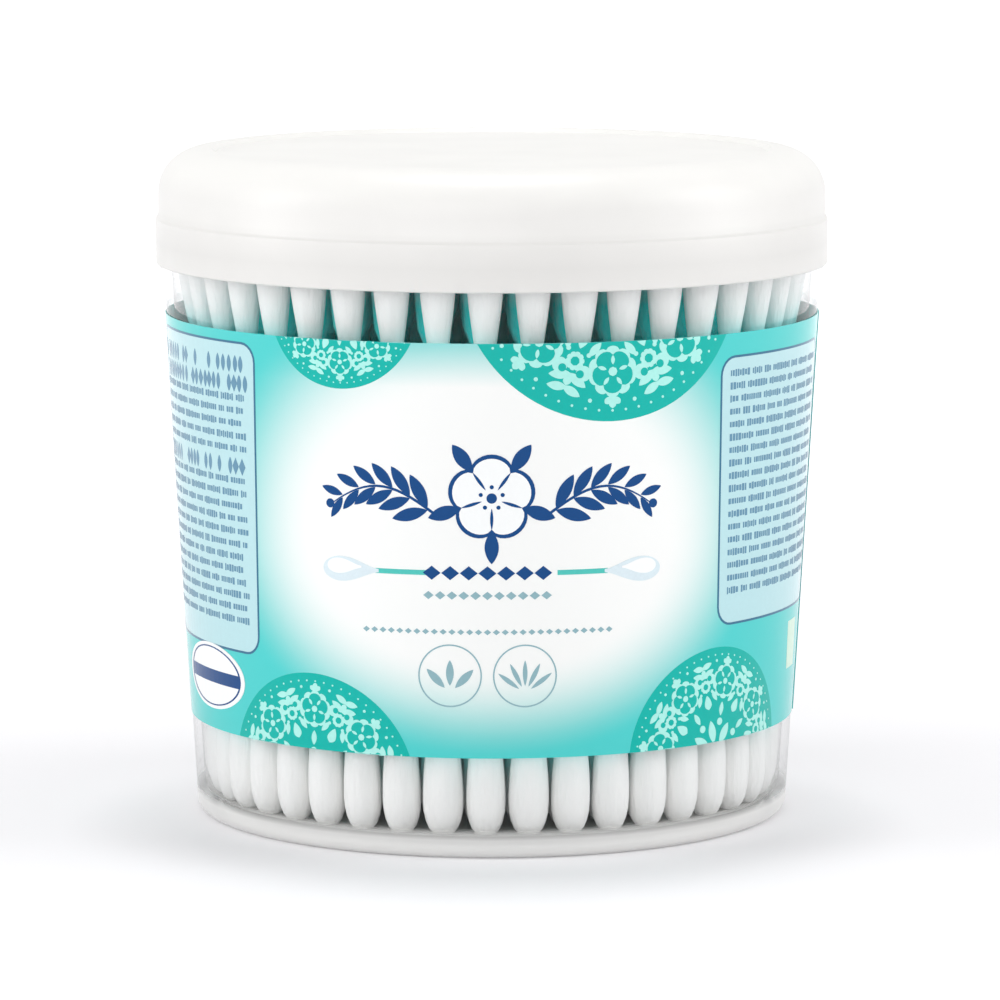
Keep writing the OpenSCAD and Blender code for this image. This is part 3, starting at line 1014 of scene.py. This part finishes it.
swab_y = 22.4 * mm
heads, head_lights, swab_sticks = [], [], []
fullest, neck = 0.66, 0.12
right = []
for i in range(9):
    share = i / 8
    right.append((neck + (1 - neck) * math.sin(math.pi / 2 * share) ** 1.5, fullest * share))
for i in range(1, 9):
    share = math.sin(math.pi / 2 * i / 8)
    right.append((math.sqrt(max(0.0, 1 - share ** 2)) + 0.01, fullest + (1 - fullest) * share))
left = [(-x, y) for x, y in reversed(right)]
head = polygon("head_pattern", [(x * 1.5 * mm, y * 7.3 * mm) for x, y in right + left])
for side in (-1, 1):
    place = Matrix.Translation((side * 13.6 * mm, swab_y, 0)) @ at_angle(side * 90, 0)
    heads.append((head, place))
    lift = Matrix.Translation((-side * 0.35 * mm, 2.2 * mm, 0))
    head_lights.append((head, place @ lift @ Matrix.Scale(0.62, 4)))
    size = Matrix.Diagonal((6.2 * mm, 0.6 * mm, 1, 1))
    swab_sticks.append((bar, Matrix.Translation((side * 10.9 * mm, swab_y, 0)) @ size))

chains = [
    (swab_y, 0.85, 2.2 * mm, 3, navy_inks),
    (19.7 * mm, 0.5, 1.4 * mm, 5, fine_inks),
    (15.3 * mm, 0.34, 1.05 * mm, 14, fine_inks),
]
for y, size, pitch, half, inks in chains:
    for i in range(-half, half + 1):
        place = Matrix.Translation((i * pitch - 0.5 * mm, y, 0))
        inks.append((diamond, place @ Matrix.Diagonal((size * 1.25, size, 1, 1))))

badge_ring = ring_shape("badge_ring_pattern", 3.8 * mm, 0.17 * mm, 64)
for x, leaves in ((-4.95 * mm, 3), (3.95 * mm, 5)):
    seat = Matrix.Translation((x, 10.0 * mm, 0))
    fine_inks.append((badge_ring, seat))
    for i in range(leaves):
        lean = (i - (leaves - 1) / 2) * 132 / leaves
        place = seat @ Matrix.Translation((0, -2.1 * mm, 0)) @ at_angle(lean, 0.9 * mm)
        fine_inks.append((leaf, place @ Matrix.Diagonal((6.6 / leaves, 3.1, 1, 1))))

seal_seat = Matrix.Translation((-42.4 * mm, 6.6 * mm, 0)) @ Matrix.Diagonal((2.0, 1, 1, 1))
seal_ring = ring_shape("seal_ring_pattern", 3.7 * mm, 0.16 * mm, 64)
white_inks.append((ground_disc, seal_seat @ Matrix.Scale(4.1, 4)))
seal_inks = [(seal_ring, seal_seat), (bar, seal_seat @ Matrix.Diagonal((7.2 * mm, 1.6 * mm, 1, 1)))]
patch = (bar, Matrix.Translation((50 * mm, 9.5 * mm, 0)) @ Matrix.Diagonal((4 * mm, 6 * mm, 1, 1)))

navy = ink_material("navy_ink", (0.0, 0.06, 0.225))
white_ink = ink_material("white_ink", (0.93, 0.95, 0.95), 0.02)
grey_blue = ink_material("grey_blue_ink", (0.27, 0.45, 0.50))
swab_grey = ink_material("swab_grey_ink", (0.70, 0.81, 0.86))
swab_teal = ink_material("swab_teal_ink", (0.08, 0.55, 0.49))
pale_green = ink_material("pale_green_ink", (0.60, 0.82, 0.66))
print_layer("cotton_branches", navy_inks, 2, navy)
print_layer("cotton_flower_edge", boll_edge, 3, navy)
print_layer("white_fields", white_inks, 4, white_ink)
print_layer("cotton_flower_lines", boll_lines, 5, navy)
print_layer("seal_lines", seal_inks, 5, navy)
print_layer("printed_swab_sticks", swab_sticks, 2, swab_teal)
print_layer("printed_swab_heads", heads, 3, swab_grey)
print_layer("printed_swab_lights", head_lights, 4, white_ink)
print_layer("thin_ornaments", fine_inks, 2, grey_blue)
print_layer("pale_patch", [patch], 1, pale_green)

for pattern in [o for o in bpy.data.objects if "_pattern" in o.name]:
    bpy.data.objects.remove(pattern)
